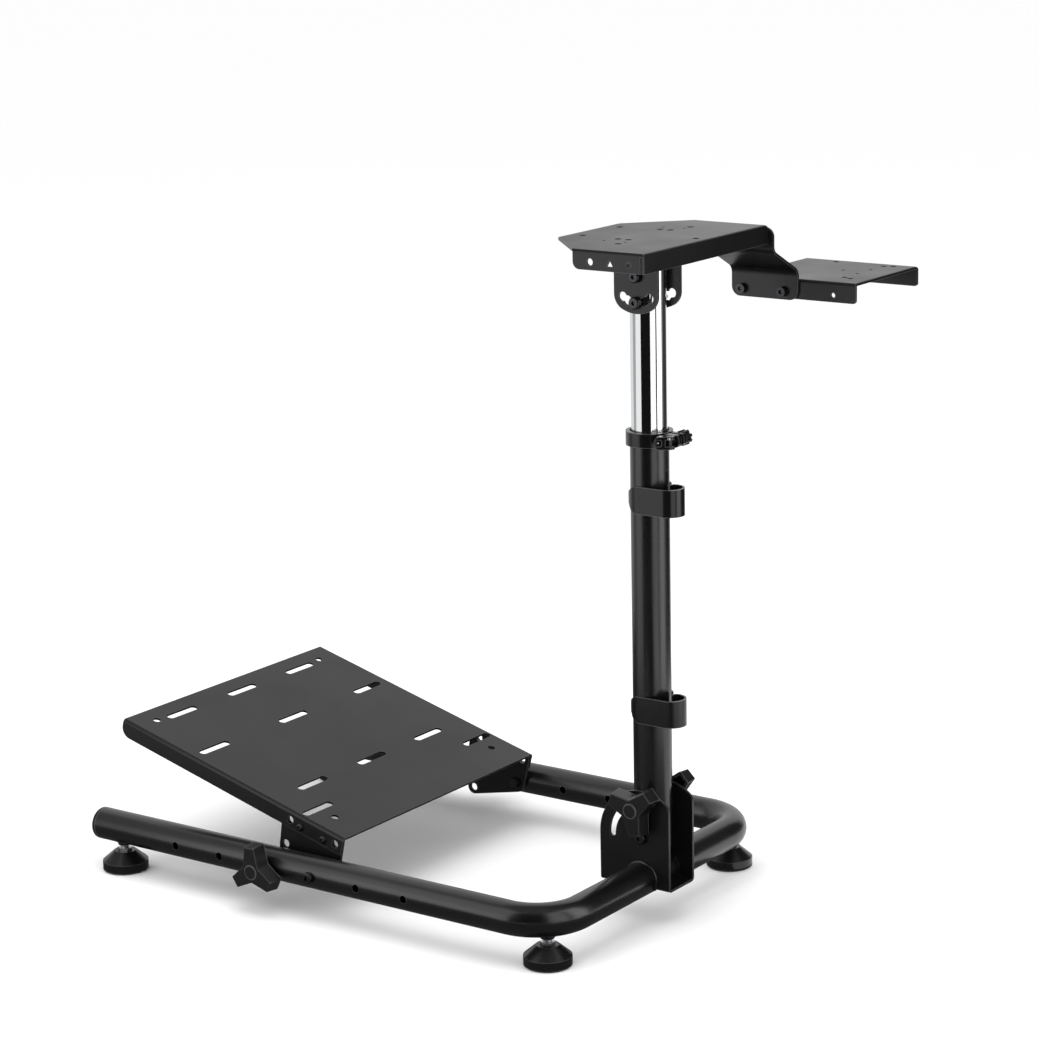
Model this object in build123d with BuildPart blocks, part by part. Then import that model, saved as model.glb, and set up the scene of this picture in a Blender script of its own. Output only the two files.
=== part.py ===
from build123d import *
import os
from math import cos, radians, sin

os.makedirs("parts", exist_ok=True)

# A folding stand for a racing wheel, its pedals and a gear shifter. It stands on the floor
# at z = 0. The driver sits on the -Y side and looks along +Y; the shifter is on the +X side.
# The origin lies on the floor, under the middle of the whole stand.

# Base frame: one round tube bent to a U, open towards the pedals
tube_d = 42.0
tube_wall = 2.0
rail_gap = 453.0
rail_len = 719.0
axis_z = 57.3
corner_r = 61.5
cap_lip = 6.0
cap_plug = 16.0
cap_wall = 3.0
cap_round = 2.5

# Rail holes, and the two of them that carry the pedal plate
bolt_d = 8.0
hole_d = 8.6
rail_hole_d = 10.5
rail_hole_first = 206.7
rail_hole_pitch = 74.2
rail_hole_count = 6
pivot_hole_no = 2
lock_hole_no = 3

# Levelling feet
foot_d = 60.0
foot_band = 13.0
foot_round = 2.0
foot_cone_h = 26.5
foot_neck_d = 28.6
foot_bore_floor = 10.0
stud_d = 10.0
stud_in_tube = 9.0
boss_d = 17.0
boss_h = 2.0
stud_nut_d = 19.0
stud_nut_h = 3.5
foot_inset = 33.0

# Column and its base bracket
column_d = 48.0
column_wall = 1.6
bracket_sheet = 3.0
bracket_gap = 1.7
bracket_floor_z = 45.5
bracket_back = 41.0
bracket_front = 61.0
bracket_top_r = 61.0
bracket_shoulder_r = 14.0
bracket_bend = 2.0
pivot_z = 110.7
lock_r = 42.0
fold_slot_deg = 90.0
column_below_pivot = 14.0
column_top_z = 620.0
slit_w = 3.5
slit_len = 44.0
slit_end_d = 5.5

# Clamp collar, its ears and the quick-release lever
collar_top_z = 622.8
collar_h = 17.5
collar_wall = 5.0
ear_reach = 24.0
ear_t = 6.5
ear_h = 15.5
ear_round = 6.0
ear_slit = 5.0
pin_d = 6.0
pin_y = 39.0
barrel_d = 8.0
thumb_nut_d = 19.0
thumb_nut_h = 12.0
thumb_flute_d = 4.0
thumb_flutes = 8
lever_stand = 1.0
cam_d = 14.0
lever_grip_t = 8.5
lever_h = 16.0
lever_tip_r = 7.5
lever_len = 18.5
lever_deg = 122.0
fork_slot_h = 8.0
fork_slot_len = 4.5
lever_dish = 2.0

# Cable clips
clip_t = 2.4
clip_h = 34.0
clip_low_z = 258.0
clip_high_z = 522.5
clip_lip_deg = 54.0
clip_run = 33.0
clip_loop_r = 17.5
clip_hook_r = 6.0
clip_wide_to = 3.0
clip_waist_h = 14.0

# Height tube
slider_wall = 1.5
slider_bottom_z = 377.0
slider_above_tilt = 14.0

# Tilt bracket under the wheel plate
tilt_drop = 46.8
tilt_r = 31.5
tilt_slot_deg = 37.0
tilt_slot_w = 8.4
tilt_eye_d = 11.4
tilt_eyes = 6
tilt_gap = 1.2
tilt_half_len = 31.3
tilt_round_r = 45.0
tilt_corner_r = 20.0
tilt_bend = 3.5

# Wheel plate
sheet = 3.0
plate_top_z = 859.6
plate_w = 274.4
plate_back = 84.5
plate_side = 14.4
plate_front = 83.8
plate_nose_w = 132.8
plate_flange = 23.3
plate_bend = 1.0
plate_tip_r = 9.0
flange_round = 9.0
flange_hole_y = 9.5
flange_hole_drop = 13.8
flange_mark_y = 37.2
flange_mark_drop = 15.0
flange_mark_r = 5.2
flange_rear_hole_y = 63.8
corner_gap = 2.0
wheel_hole_d = 9.0
wheel_pin_hole_d = 4.6
front_pair_half = 40.0
front_pair_y = 65.7
inner_half = 46.0
inner_y_front = 11.5
inner_y_back = -3.0
small_half = 64.5
small_y_front = 19.2
small_y_back = -10.8
outer_half = 79.0
outer_y = -10.6
rear_hole_y = -68.0

# Shifter arm
arm_drop = 31.0
arm_top_gap = 3.0
arm_slope_run = 59.0
arm_slope_drop = 31.0
arm_foot = 36.0
arm_back = 92.0
arm_front = 3.0
arm_bend = 13.0
arm_corner_r = 12.0
arm_bolt_front_y = -12.0
arm_bolt_back_y = -70.4
arm_bolt_rise = 10.0
arm_bolt_d = 6.0
arm_head_d = 12.5
arm_head_h = 6.0
arm_nut_h = 5.0

# Shifter plate
shifter_w = 160.0
shifter_back = 171.6
shifter_front = 8.7
shifter_drop = 74.6
shifter_flange = 25.0
shifter_corner_r = 4.0
shifter_mid = 90.0
shifter_hole_d = 8.0
shifter_small_hole_d = 5.5
shift_rear_half = 55.0
shift_rear_y = -144.0
shift_mid_half = 50.0
shift_mid_y = -133.0
shift_in_half = 17.0
shift_in_y = -132.5
shift_centre_y = -103.2
shift_front_half = 55.5
shift_front_y = -61.2
shift_side_hole_y = -139.7

# Pedal plate and its brackets
pedal_len = 378.0
pedal_deg = 15.2
pedal_edge_y = 330.1
pedal_edge_z = 100.6
pedal_flange = 23.0
pedal_corner_r = 14.0
pedal_bend = 1.5
slot_len = 57.0
slot_w = 11.0
slot_far_s = 349.0
slot_far_x = 123.0
slot_mid_s = 257.0
slot_mid_x = 161.5
slot_low_s = 119.5
slot_low_x = 124.0
slot_near_s = 71.0
slot_near_x = 172.0
pin_hole_d = 11.0
pin_hole_x = 170.0
pin_hole_far_s = 352.0
pin_hole_near_s = 43.8
washer_t = 1.5
side_hole_in = 11.4
side_hole_depth = 12.6
set_angle_step = 15.0
pedal_lock_rim = 9.8
pedal_bracket_len = 100.0
pedal_bracket_inset = 1.0
pedal_pivot_rim = 14.0

# Star knobs
knob_arms = 3
knob_r = 34.0
knob_h = 21.0
knob_web_r = 15.5
knob_tip_w = 18.0
knob_corner_r = 2.0
knob_draft_deg = 5.0
knob_cap_d = 19.0
knob_cap_rise = 0.8
knob_wall = 3.0
knob_core_depth = 11.0
knob_collar_h = 5.0
knob_collar_d = 22.0
knob_round = 1.2
knob_bore_depth = 12.0
column_left_arm_deg = -80.0
column_right_arm_deg = -105.0
pedal_left_arm_deg = 93.0
pedal_right_arm_deg = -90.0

# Bolt heads and nuts
head_d = 15.0
head_h = 6.0
socket_d = 6.0
socket_depth = 2.5
nut_d = 14.0
nut_h = 6.5

# Clearances
weld_fit = 0.05
slide_fit = 0.2
turn_fit = 0.05
side_play = 0.3

# Places that follow from the sizes above. The stand's middle is found from its two widest
# reaches: the pedal knob on the left and the shifter plate on the right.
half_rail = rail_gap / 2
tube_r = tube_d / 2
column_r = column_d / 2
slider_r = column_r - column_wall - slide_fit
reach_left = half_rail + tube_r + knob_collar_h + knob_h
arm_out = plate_w / 2 + arm_slope_run + sheet
reach_right = arm_out + shifter_w
mid_x = (reach_left - reach_right) / 2
back_reach = shifter_back
front_reach = rail_len + cap_lip
col_y = (back_reach - front_reach) / 2
open_y = col_y + rail_len
lock_z = pivot_z + lock_r
tilt_z = plate_top_z - tilt_drop
shifter_top_z = plate_top_z - shifter_drop
bracket_half = column_r + bracket_gap + bracket_sheet
tilt_half = slider_r + tilt_gap + sheet
pivot_hole_y = col_y + rail_hole_first + rail_hole_pitch * pivot_hole_no
lock_hole_y = col_y + rail_hole_first + rail_hole_pitch * lock_hole_no
sides = ((-1, "left"), (1, "right"))


def side_plane(side, x, y, z):
    """A plane that faces outwards on one side of the stand, with its own y axis upright."""
    return Plane(origin=(x, y, z), x_dir=(0, side, 0), z_dir=(side, 0, 0))


# Base frame: the U tube with its rail holes and the threaded bosses of the four feet
corner_mid = corner_r * (1 - cos(radians(45)))
foot_places = (
    ("rear_left", mid_x - half_rail + corner_mid, col_y + corner_mid),
    ("rear_right", mid_x + half_rail - corner_mid, col_y + corner_mid),
    ("front_left", mid_x - half_rail, open_y - foot_inset),
    ("front_right", mid_x + half_rail, open_y - foot_inset),
)
boss_z = axis_z - tube_r - boss_h
with BuildPart() as base_frame:
    with BuildLine(Plane.XY.offset(axis_z)) as rail_path:
        FilletPolyline(
            (mid_x - half_rail, open_y),
            (mid_x - half_rail, col_y),
            (mid_x + half_rail, col_y),
            (mid_x + half_rail, open_y),
            radius=corner_r,
        )
    with BuildSketch(Plane(origin=(mid_x - half_rail, open_y, axis_z), z_dir=(0, -1, 0))):
        Circle(tube_r)
        Circle(tube_r - tube_wall, mode=Mode.SUBTRACT)
    sweep(path=rail_path.wires()[0])
    with BuildSketch(Plane.XY.offset(boss_z)):
        with Locations(*[(x, y) for _, x, y in foot_places]):
            Circle(boss_d / 2)
    extrude(amount=boss_h + tube_wall)
    with BuildSketch(Plane.XY.offset(boss_z)):
        with Locations(*[(x, y) for _, x, y in foot_places]):
            Circle(stud_d / 2 + turn_fit)
    extrude(amount=boss_h + tube_r, mode=Mode.SUBTRACT)
    for side, _ in sides:
        with BuildSketch(Plane.YZ.offset(mid_x + side * half_rail)):
            for number in range(rail_hole_count):
                with Locations((col_y + rail_hole_first + rail_hole_pitch * number, axis_z)):
                    Circle(rail_hole_d / 2)
        extrude(amount=tube_r, both=True, mode=Mode.SUBTRACT)
base_frame.part.label = "base_frame"
export_step(base_frame.part, "parts/base_frame.step")

# End caps: a lip over the open end of each rail and a hollow plug inside it
for side, hand in sides:
    cap_plane = Plane(origin=(mid_x + side * half_rail, open_y, axis_z), z_dir=(0, 1, 0))
    with BuildPart() as end_cap:
        with BuildSketch(cap_plane):
            Circle(tube_r)
        extrude(amount=cap_lip)
        fillet(end_cap.edges().group_by(Axis.Y)[-1], radius=cap_round)
        with BuildSketch(cap_plane):
            Circle(tube_r - tube_wall - weld_fit)
            Circle(tube_r - tube_wall - cap_wall, mode=Mode.SUBTRACT)
        extrude(amount=-cap_plug)
    end_cap.part.label = f"end_cap_{hand}"
    export_step(end_cap.part, f"parts/end_cap_{hand}.step")

# Feet: a round pad with a cone up to its neck, and a stud with a thin nut that locks it
for place, x, y in foot_places:
    with BuildPart() as foot_pad:
        with BuildSketch(Plane(origin=(x, y, 0), x_dir=(1, 0, 0), z_dir=(0, -1, 0))):
            with BuildLine():
                Polyline(
                    (0, 0),
                    (foot_d / 2 - foot_round, 0),
                    (foot_d / 2, foot_round),
                    (foot_d / 2, foot_band),
                    (foot_neck_d / 2, foot_cone_h),
                    (stud_d / 2 + weld_fit, foot_cone_h),
                    (stud_d / 2 + weld_fit, foot_bore_floor),
                    (0, foot_bore_floor),
                    close=True,
                )
            make_face()
        revolve(axis=Axis((x, y, 0), (0, 0, 1)))
    foot_pad.part.label = f"foot_pad_{place}"
    export_step(foot_pad.part, f"parts/foot_pad_{place}.step")

    with BuildPart() as foot_stud:
        with BuildSketch(Plane(origin=(x, y, foot_bore_floor))):
            Circle(stud_d / 2)
        extrude(amount=boss_z + boss_h + tube_wall + stud_in_tube - foot_bore_floor)
        with BuildSketch(Plane(origin=(x, y, foot_cone_h + weld_fit))):
            RegularPolygon(stud_nut_d / 2, 6)
        extrude(amount=stud_nut_h)
    foot_stud.part.label = f"foot_stud_{place}"
    export_step(foot_stud.part, f"parts/foot_stud_{place}.step")

# Column bracket: a bent U sheet pierced by the cross tube, with the fold slots in its cheeks
bracket_top_z = pivot_z + bracket_top_r
with BuildPart() as column_bracket:
    with BuildSketch(Plane(origin=(mid_x, col_y + bracket_front, 0), x_dir=(1, 0, 0), z_dir=(0, -1, 0))):
        with BuildLine():
            FilletPolyline(
                (-bracket_half, bracket_top_z),
                (-bracket_half, bracket_floor_z),
                (bracket_half, bracket_floor_z),
                (bracket_half, bracket_top_z),
                radius=bracket_bend + bracket_sheet,
            )
            offset(amount=bracket_sheet, side=Side.LEFT)
        make_face()
    extrude(amount=bracket_front + bracket_back)
    with BuildSketch(Plane.YZ.offset(mid_x)):
        with Locations((col_y, pivot_z)):
            Circle(bracket_top_r)
        with Locations((col_y, (pivot_z + bracket_floor_z) / 2)):
            Rectangle(2 * bracket_top_r, pivot_z - bracket_floor_z)
        with Locations((col_y + bracket_front, (bracket_top_z + bracket_floor_z) / 2)):
            Rectangle(
                bracket_front + bracket_back,
                bracket_top_z - bracket_floor_z,
                align=(Align.MAX, Align.CENTER),
                mode=Mode.INTERSECT,
            )
        fillet(vertices().sort_by(Axis.Y)[-1], radius=bracket_shoulder_r)
    extrude(amount=2 * bracket_half, both=True, mode=Mode.INTERSECT)
    with BuildSketch(Plane.YZ.offset(mid_x)):
        with Locations((col_y, axis_z)):
            Circle(tube_r + weld_fit)
        with Locations((col_y, pivot_z)):
            Circle(hole_d / 2)
        with BuildLine():
            CenterArc((col_y, pivot_z), lock_r, 0, fold_slot_deg)
            offset(amount=hole_d / 2)
        make_face()
    extrude(amount=2 * bracket_half, both=True, mode=Mode.SUBTRACT)
column_bracket.part.label = "column_bracket"
export_step(column_bracket.part, "parts/column_bracket.step")

# Column: a round tube drilled for its pivot and lock bolts, slit at the top for the collar
column_bottom_z = pivot_z - column_below_pivot
with BuildPart() as column_tube:
    with BuildSketch(Plane(origin=(mid_x, col_y, column_bottom_z))):
        Circle(column_r)
        Circle(column_r - column_wall, mode=Mode.SUBTRACT)
    extrude(amount=column_top_z - column_bottom_z)
    with BuildSketch(Plane.YZ.offset(mid_x)):
        with Locations((col_y, pivot_z), (col_y, lock_z)):
            Circle(bolt_d / 2 + turn_fit)
    extrude(amount=column_d, both=True, mode=Mode.SUBTRACT)
    with BuildSketch(Plane(origin=(mid_x, col_y, column_top_z), x_dir=(1, 0, 0), z_dir=(0, -1, 0))):
        SlotOverall(2 * slit_len, slit_w, rotation=90)
        with Locations((0, -slit_len)):
            Circle(slit_end_d / 2)
    extrude(amount=column_d, mode=Mode.SUBTRACT)
column_tube.part.label = "column_tube"
export_step(column_tube.part, "parts/column_tube.step")

# Bolt of the column's pivot: a head on one cheek and a nut on the other
with BuildPart() as column_pivot_bolt:
    with BuildSketch(Plane.YZ.offset(mid_x - bracket_half)):
        with Locations((col_y, pivot_z)):
            Circle(bolt_d / 2)
    extrude(amount=2 * bracket_half)
    with BuildSketch(Plane.YZ.offset(mid_x - bracket_half)):
        with Locations((col_y, pivot_z)):
            Circle(head_d / 2)
    extrude(amount=-head_h)
    fillet(column_pivot_bolt.edges().group_by(Axis.X)[0], radius=head_h / 3)
    with BuildSketch(Plane.YZ.offset(mid_x - bracket_half - head_h)):
        with Locations((col_y, pivot_z)):
            RegularPolygon(socket_d / 2, 6)
    extrude(amount=socket_depth, mode=Mode.SUBTRACT)
    with BuildSketch(Plane.YZ.offset(mid_x + bracket_half)):
        with Locations((col_y, pivot_z)):
            RegularPolygon(nut_d / 2, 6)
    extrude(amount=nut_h)
column_pivot_bolt.part.label = "column_pivot_bolt"
export_step(column_pivot_bolt.part, "parts/column_pivot_bolt.step")

# Lock rod through the fold slots; a star knob turns on each end of it
lock_rod_half = bracket_half + knob_bore_depth
with BuildPart() as column_lock_bolt:
    with BuildSketch(Plane.YZ.offset(mid_x)):
        with Locations((col_y, lock_z)):
            Circle(bolt_d / 2)
    extrude(amount=lock_rod_half, both=True)
column_lock_bolt.part.label = "column_lock_bolt"
export_step(column_lock_bolt.part, "parts/column_lock_bolt.step")

# Star knobs: a flat star with blunt arms and straight webs, drafted towards its face, with a
# round cap on the face and a hollow back round the collar that bears on the sheet or the tube.
# The column's two knobs hold the fold, and the two pedal knobs hold the pedal plate.
knob_web_deg = 180 / knob_arms
knob_web_x = knob_web_r * cos(radians(knob_web_deg))
knob_web_y = knob_web_r * sin(radians(knob_web_deg))
with BuildSketch() as knob_outline:
    with PolarLocations(0, knob_arms):
        Polygon(
            (0, 0),
            (knob_web_x, -knob_web_y),
            (knob_r, -knob_tip_w / 2),
            (knob_r, knob_tip_w / 2),
            (knob_web_x, knob_web_y),
            align=None,
        )
    fillet(vertices(), radius=knob_corner_r)
with BuildSketch() as knob_core:
    add(knob_outline.sketch)
    offset(amount=-knob_wall, mode=Mode.REPLACE)
    Circle(knob_collar_d / 2, mode=Mode.SUBTRACT)

column_seat = bracket_half + side_play
rail_seat = half_rail + tube_r + side_play
knob_arm_h = knob_h - side_play - knob_cap_rise
for name, seat, first_arm in (
    ("column_knob_left", side_plane(-1, mid_x - column_seat, col_y, lock_z), column_left_arm_deg),
    ("column_knob_right", side_plane(1, mid_x + column_seat, col_y, lock_z), column_right_arm_deg),
    ("pedal_knob_left", side_plane(-1, mid_x - rail_seat, lock_hole_y, axis_z), pedal_left_arm_deg),
    ("pedal_knob_right", side_plane(1, mid_x + rail_seat, lock_hole_y, axis_z), pedal_right_arm_deg),
):
    with BuildPart() as star_knob:
        with BuildSketch(seat.offset(knob_collar_h)):
            add(knob_outline.sketch, rotation=first_arm)
        extrude(amount=knob_arm_h, taper=knob_draft_deg)
        fillet(faces().sort_by(Axis(seat.origin, seat.z_dir))[-1].edges(), radius=knob_round)
        with BuildSketch(seat.offset(knob_collar_h + knob_arm_h)):
            Circle(knob_cap_d / 2)
        extrude(amount=knob_cap_rise, taper=45)
        with BuildSketch(seat.offset(knob_collar_h)):
            add(knob_core.sketch, rotation=first_arm)
        extrude(amount=knob_core_depth, mode=Mode.SUBTRACT)
        with BuildSketch(seat):
            Circle(knob_collar_d / 2)
        extrude(amount=knob_collar_h)
        with BuildSketch(seat):
            Circle(bolt_d / 2 + turn_fit)
        extrude(amount=knob_bore_depth + side_play, mode=Mode.SUBTRACT)
    star_knob.part.label = name
    export_step(star_knob.part, f"parts/{name}.step")

# Clamp collar: a split ring round the column's top, drawn together by a pin through two ears
collar_bottom_z = collar_top_z - collar_h
collar_r = column_r + weld_fit + collar_wall
pin_z = (collar_top_z + collar_bottom_z) / 2
ear_end_y = collar_r + ear_reach - collar_wall
ear_half = ear_slit / 2 + ear_t
with BuildPart() as clamp_collar:
    with BuildSketch(Plane(origin=(mid_x, col_y, collar_bottom_z))):
        Circle(collar_r)
    extrude(amount=collar_h)
    with BuildSketch(Plane(origin=(mid_x, col_y, pin_z - ear_h / 2))):
        Rectangle(2 * ear_half, ear_end_y, align=(Align.CENTER, Align.MAX))
    extrude(amount=ear_h)
    fillet(edges().filter_by(Axis.X).group_by(Axis.Y)[0], radius=ear_round)
    with BuildSketch(Plane(origin=(mid_x, col_y, collar_bottom_z))):
        Circle(column_r + weld_fit)
        Rectangle(ear_slit, 2 * ear_end_y, align=(Align.CENTER, Align.MAX))
    extrude(amount=collar_h, mode=Mode.SUBTRACT)
    with BuildSketch(Plane.YZ.offset(mid_x)):
        with Locations((col_y - pin_y, pin_z)):
            Circle(pin_d / 2 + turn_fit)
    extrude(amount=2 * ear_half, both=True, mode=Mode.SUBTRACT)
clamp_collar.part.label = "clamp_collar"
export_step(clamp_collar.part, "parts/clamp_collar.step")

# Clamp pin: it crosses the ears from a fluted thumb nut to the upright barrel of the lever
barrel_x = mid_x - ear_half - lever_stand - cam_d / 2
barrel_h = lever_h - 2 * side_play
with BuildPart() as clamp_pin:
    with BuildSketch(Plane.YZ.offset(barrel_x)):
        with Locations((col_y - pin_y, pin_z)):
            Circle(pin_d / 2)
    extrude(amount=mid_x + ear_half + thumb_nut_h - barrel_x)
    with BuildSketch(Plane.YZ.offset(mid_x + ear_half)):
        with Locations((col_y - pin_y, pin_z)):
            Circle(thumb_nut_d / 2)
            with PolarLocations(thumb_nut_d / 2, thumb_flutes):
                Circle(thumb_flute_d / 2, mode=Mode.SUBTRACT)
    extrude(amount=thumb_nut_h)
    with BuildSketch(Plane(origin=(barrel_x, col_y - pin_y, pin_z - barrel_h / 2))):
        Circle(barrel_d / 2)
    extrude(amount=barrel_h)
clamp_pin.part.label = "clamp_pin"
export_step(clamp_pin.part, "parts/clamp_pin.step")

# Quick-release lever: a cam with a slot for the pin, and a dished handle that lies along the
# collar when the clamp is shut
lever_turn = radians(lever_deg)
lever_along = (cos(lever_turn), sin(lever_turn), 0)
lever_side = (-sin(lever_turn), cos(lever_turn), 0)
lever_seat = (barrel_x, col_y - pin_y, pin_z)
with BuildPart() as clamp_lever:
    with BuildSketch(Plane(origin=lever_seat, x_dir=lever_along, z_dir=(0, 0, 1))):
        Circle(cam_d / 2)
        with Locations((0, (cam_d - lever_grip_t) / 2)):
            Rectangle(lever_len, lever_grip_t, align=(Align.MIN, Align.CENTER))
    extrude(amount=lever_h / 2, both=True)
    with BuildSketch(Plane(origin=lever_seat, x_dir=lever_along, z_dir=lever_side)):
        with Locations((-cam_d, 0)):
            Rectangle(cam_d + lever_len, lever_h, align=(Align.MIN, Align.CENTER))
        fillet(vertices().group_by(Axis.X)[-1], radius=lever_tip_r)
    extrude(amount=cam_d, both=True, mode=Mode.INTERSECT)
    with BuildSketch(Plane(origin=lever_seat, x_dir=lever_along, z_dir=lever_side)):
        with Locations((fork_slot_len, 0)):
            Rectangle(2 * cam_d, fork_slot_h, align=(Align.MAX, Align.CENTER))
    extrude(amount=cam_d, both=True, mode=Mode.SUBTRACT)
    with BuildSketch(Plane(origin=lever_seat, x_dir=lever_along, z_dir=lever_side).offset(cam_d / 2)):
        with Locations(((cam_d / 2 + lever_len) / 2, 0)):
            RectangleRounded(
                lever_len - cam_d / 2 - 2 * lever_dish,
                lever_h - 4 * lever_dish,
                lever_dish,
            )
    extrude(amount=-lever_dish, mode=Mode.SUBTRACT)
    with BuildSketch(Plane(origin=lever_seat)):
        Circle(barrel_d / 2 + turn_fit)
    extrude(amount=lever_h, both=True, mode=Mode.SUBTRACT)
clamp_lever.part.label = "clamp_lever"
export_step(clamp_lever.part, "parts/clamp_lever.step")

# Cable clips: one strap of sheet that grips the column, runs past it on one side and curls
# round into an open loop. Its back narrows to a waist, so that it springs on.
strap_r = column_r + weld_fit + clip_t / 2
for name, clip_z in (("cable_clip_lower", clip_low_z), ("cable_clip_upper", clip_high_z)):
    with BuildPart() as cable_clip:
        with BuildSketch(Plane(origin=(mid_x, col_y, clip_z))):
            with BuildLine():
                grip = CenterArc((0, 0), strap_r, -clip_lip_deg, 180 + clip_lip_deg)
                Line(grip @ 1, (-strap_r, -clip_run))
                curl = CenterArc((clip_loop_r - strap_r, -clip_run), clip_loop_r, 180, 180)
                JernArc(start=curl @ 1, tangent=curl % 1, radius=clip_hook_r, arc_size=90)
                offset(amount=clip_t / 2)
            make_face()
        extrude(amount=clip_h)
        with BuildSketch(Plane.YZ.offset(mid_x)):
            with Locations((col_y + clip_wide_to, clip_z + clip_h / 2)):
                Rectangle(
                    strap_r + clip_run + 2 * clip_loop_r,
                    clip_h,
                    align=(Align.MAX, Align.CENTER),
                )
                Circle(clip_h / 2)
                Rectangle(4 * strap_r, clip_waist_h)
        extrude(amount=2 * strap_r, both=True, mode=Mode.INTERSECT)
    cable_clip.part.label = name
    export_step(cable_clip.part, f"parts/{name}.step")

# Height tube: it slides in the column and carries the tilt bracket near its top
slider_top_z = tilt_z + slider_above_tilt
tilt_lock_z = tilt_z - tilt_r
with BuildPart() as height_tube:
    with BuildSketch(Plane(origin=(mid_x, col_y, slider_bottom_z))):
        Circle(slider_r)
        Circle(slider_r - slider_wall, mode=Mode.SUBTRACT)
    extrude(amount=slider_top_z - slider_bottom_z)
    with BuildSketch(Plane.YZ.offset(mid_x)):
        with Locations((col_y, tilt_z), (col_y, tilt_lock_z)):
            Circle(bolt_d / 2 + turn_fit)
    extrude(amount=column_d, both=True, mode=Mode.SUBTRACT)
height_tube.part.label = "height_tube"
export_step(height_tube.part, "parts/height_tube.step")

# Tilt bracket: an inverted U under the wheel plate, with keyhole arcs in its rounded cheeks
under_plate_z = plate_top_z - sheet
bracket_low_z = tilt_z - tilt_round_r
with BuildPart() as tilt_bracket:
    with BuildSketch(Plane(origin=(mid_x, col_y + tilt_half_len, 0), x_dir=(1, 0, 0), z_dir=(0, -1, 0))):
        with BuildLine():
            FilletPolyline(
                (-tilt_half, bracket_low_z),
                (-tilt_half, under_plate_z),
                (tilt_half, under_plate_z),
                (tilt_half, bracket_low_z),
                radius=tilt_bend + sheet,
            )
            offset(amount=sheet, side=Side.RIGHT)
        make_face()
    extrude(amount=2 * tilt_half_len)
    with BuildSketch(Plane.YZ.offset(mid_x)):
        with Locations((col_y, tilt_z)):
            Circle(tilt_round_r)
        with Locations((col_y, under_plate_z)):
            Rectangle(2 * tilt_round_r, under_plate_z - tilt_z, align=(Align.CENTER, Align.MAX))
        with Locations((col_y, under_plate_z)):
            Rectangle(
                2 * tilt_half_len,
                under_plate_z - bracket_low_z,
                align=(Align.CENTER, Align.MAX),
                mode=Mode.INTERSECT,
            )
        fillet(vertices().group_by(Axis.Y)[0], radius=tilt_corner_r)
    extrude(amount=2 * tilt_half, both=True, mode=Mode.INTERSECT)
    with BuildSketch(Plane.YZ.offset(mid_x)):
        with Locations((col_y, tilt_z)):
            Circle(hole_d / 2)
            with PolarLocations(
                tilt_r,
                tilt_eyes,
                start_angle=-90 - tilt_slot_deg,
                angular_range=2 * tilt_slot_deg,
                endpoint=True,
            ):
                Circle(tilt_eye_d / 2)
        with BuildLine():
            CenterArc((col_y, tilt_z), tilt_r, -90 - tilt_slot_deg, 2 * tilt_slot_deg)
            offset(amount=tilt_slot_w / 2)
        make_face()
    extrude(amount=2 * tilt_half, both=True, mode=Mode.SUBTRACT)
tilt_bracket.part.label = "tilt_bracket"
export_step(tilt_bracket.part, "parts/tilt_bracket.step")

# Tilt bolts: the upper one is the pivot and the lower one locks in the arc
for name, bolt_z in (("tilt_pivot_bolt", tilt_z), ("tilt_lock_bolt", tilt_lock_z)):
    with BuildPart() as tilt_bolt:
        with BuildSketch(Plane.YZ.offset(mid_x - tilt_half - side_play)):
            with Locations((col_y, bolt_z)):
                Circle(bolt_d / 2)
        extrude(amount=2 * (tilt_half + side_play))
        with BuildSketch(Plane.YZ.offset(mid_x - tilt_half - side_play)):
            with Locations((col_y, bolt_z)):
                Circle(head_d / 2)
        extrude(amount=-head_h)
        fillet(tilt_bolt.edges().group_by(Axis.X)[0], radius=head_h / 3)
        with BuildSketch(Plane.YZ.offset(mid_x - tilt_half - side_play - head_h)):
            with Locations((col_y, bolt_z)):
                RegularPolygon(socket_d / 2, 6)
        extrude(amount=socket_depth, mode=Mode.SUBTRACT)
        with BuildSketch(Plane.YZ.offset(mid_x + tilt_half + side_play)):
            with Locations((col_y, bolt_z)):
                RegularPolygon(nut_d / 2, 6)
        extrude(amount=nut_h)
    tilt_bolt.part.label = name
    export_step(tilt_bolt.part, f"parts/{name}.step")

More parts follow.
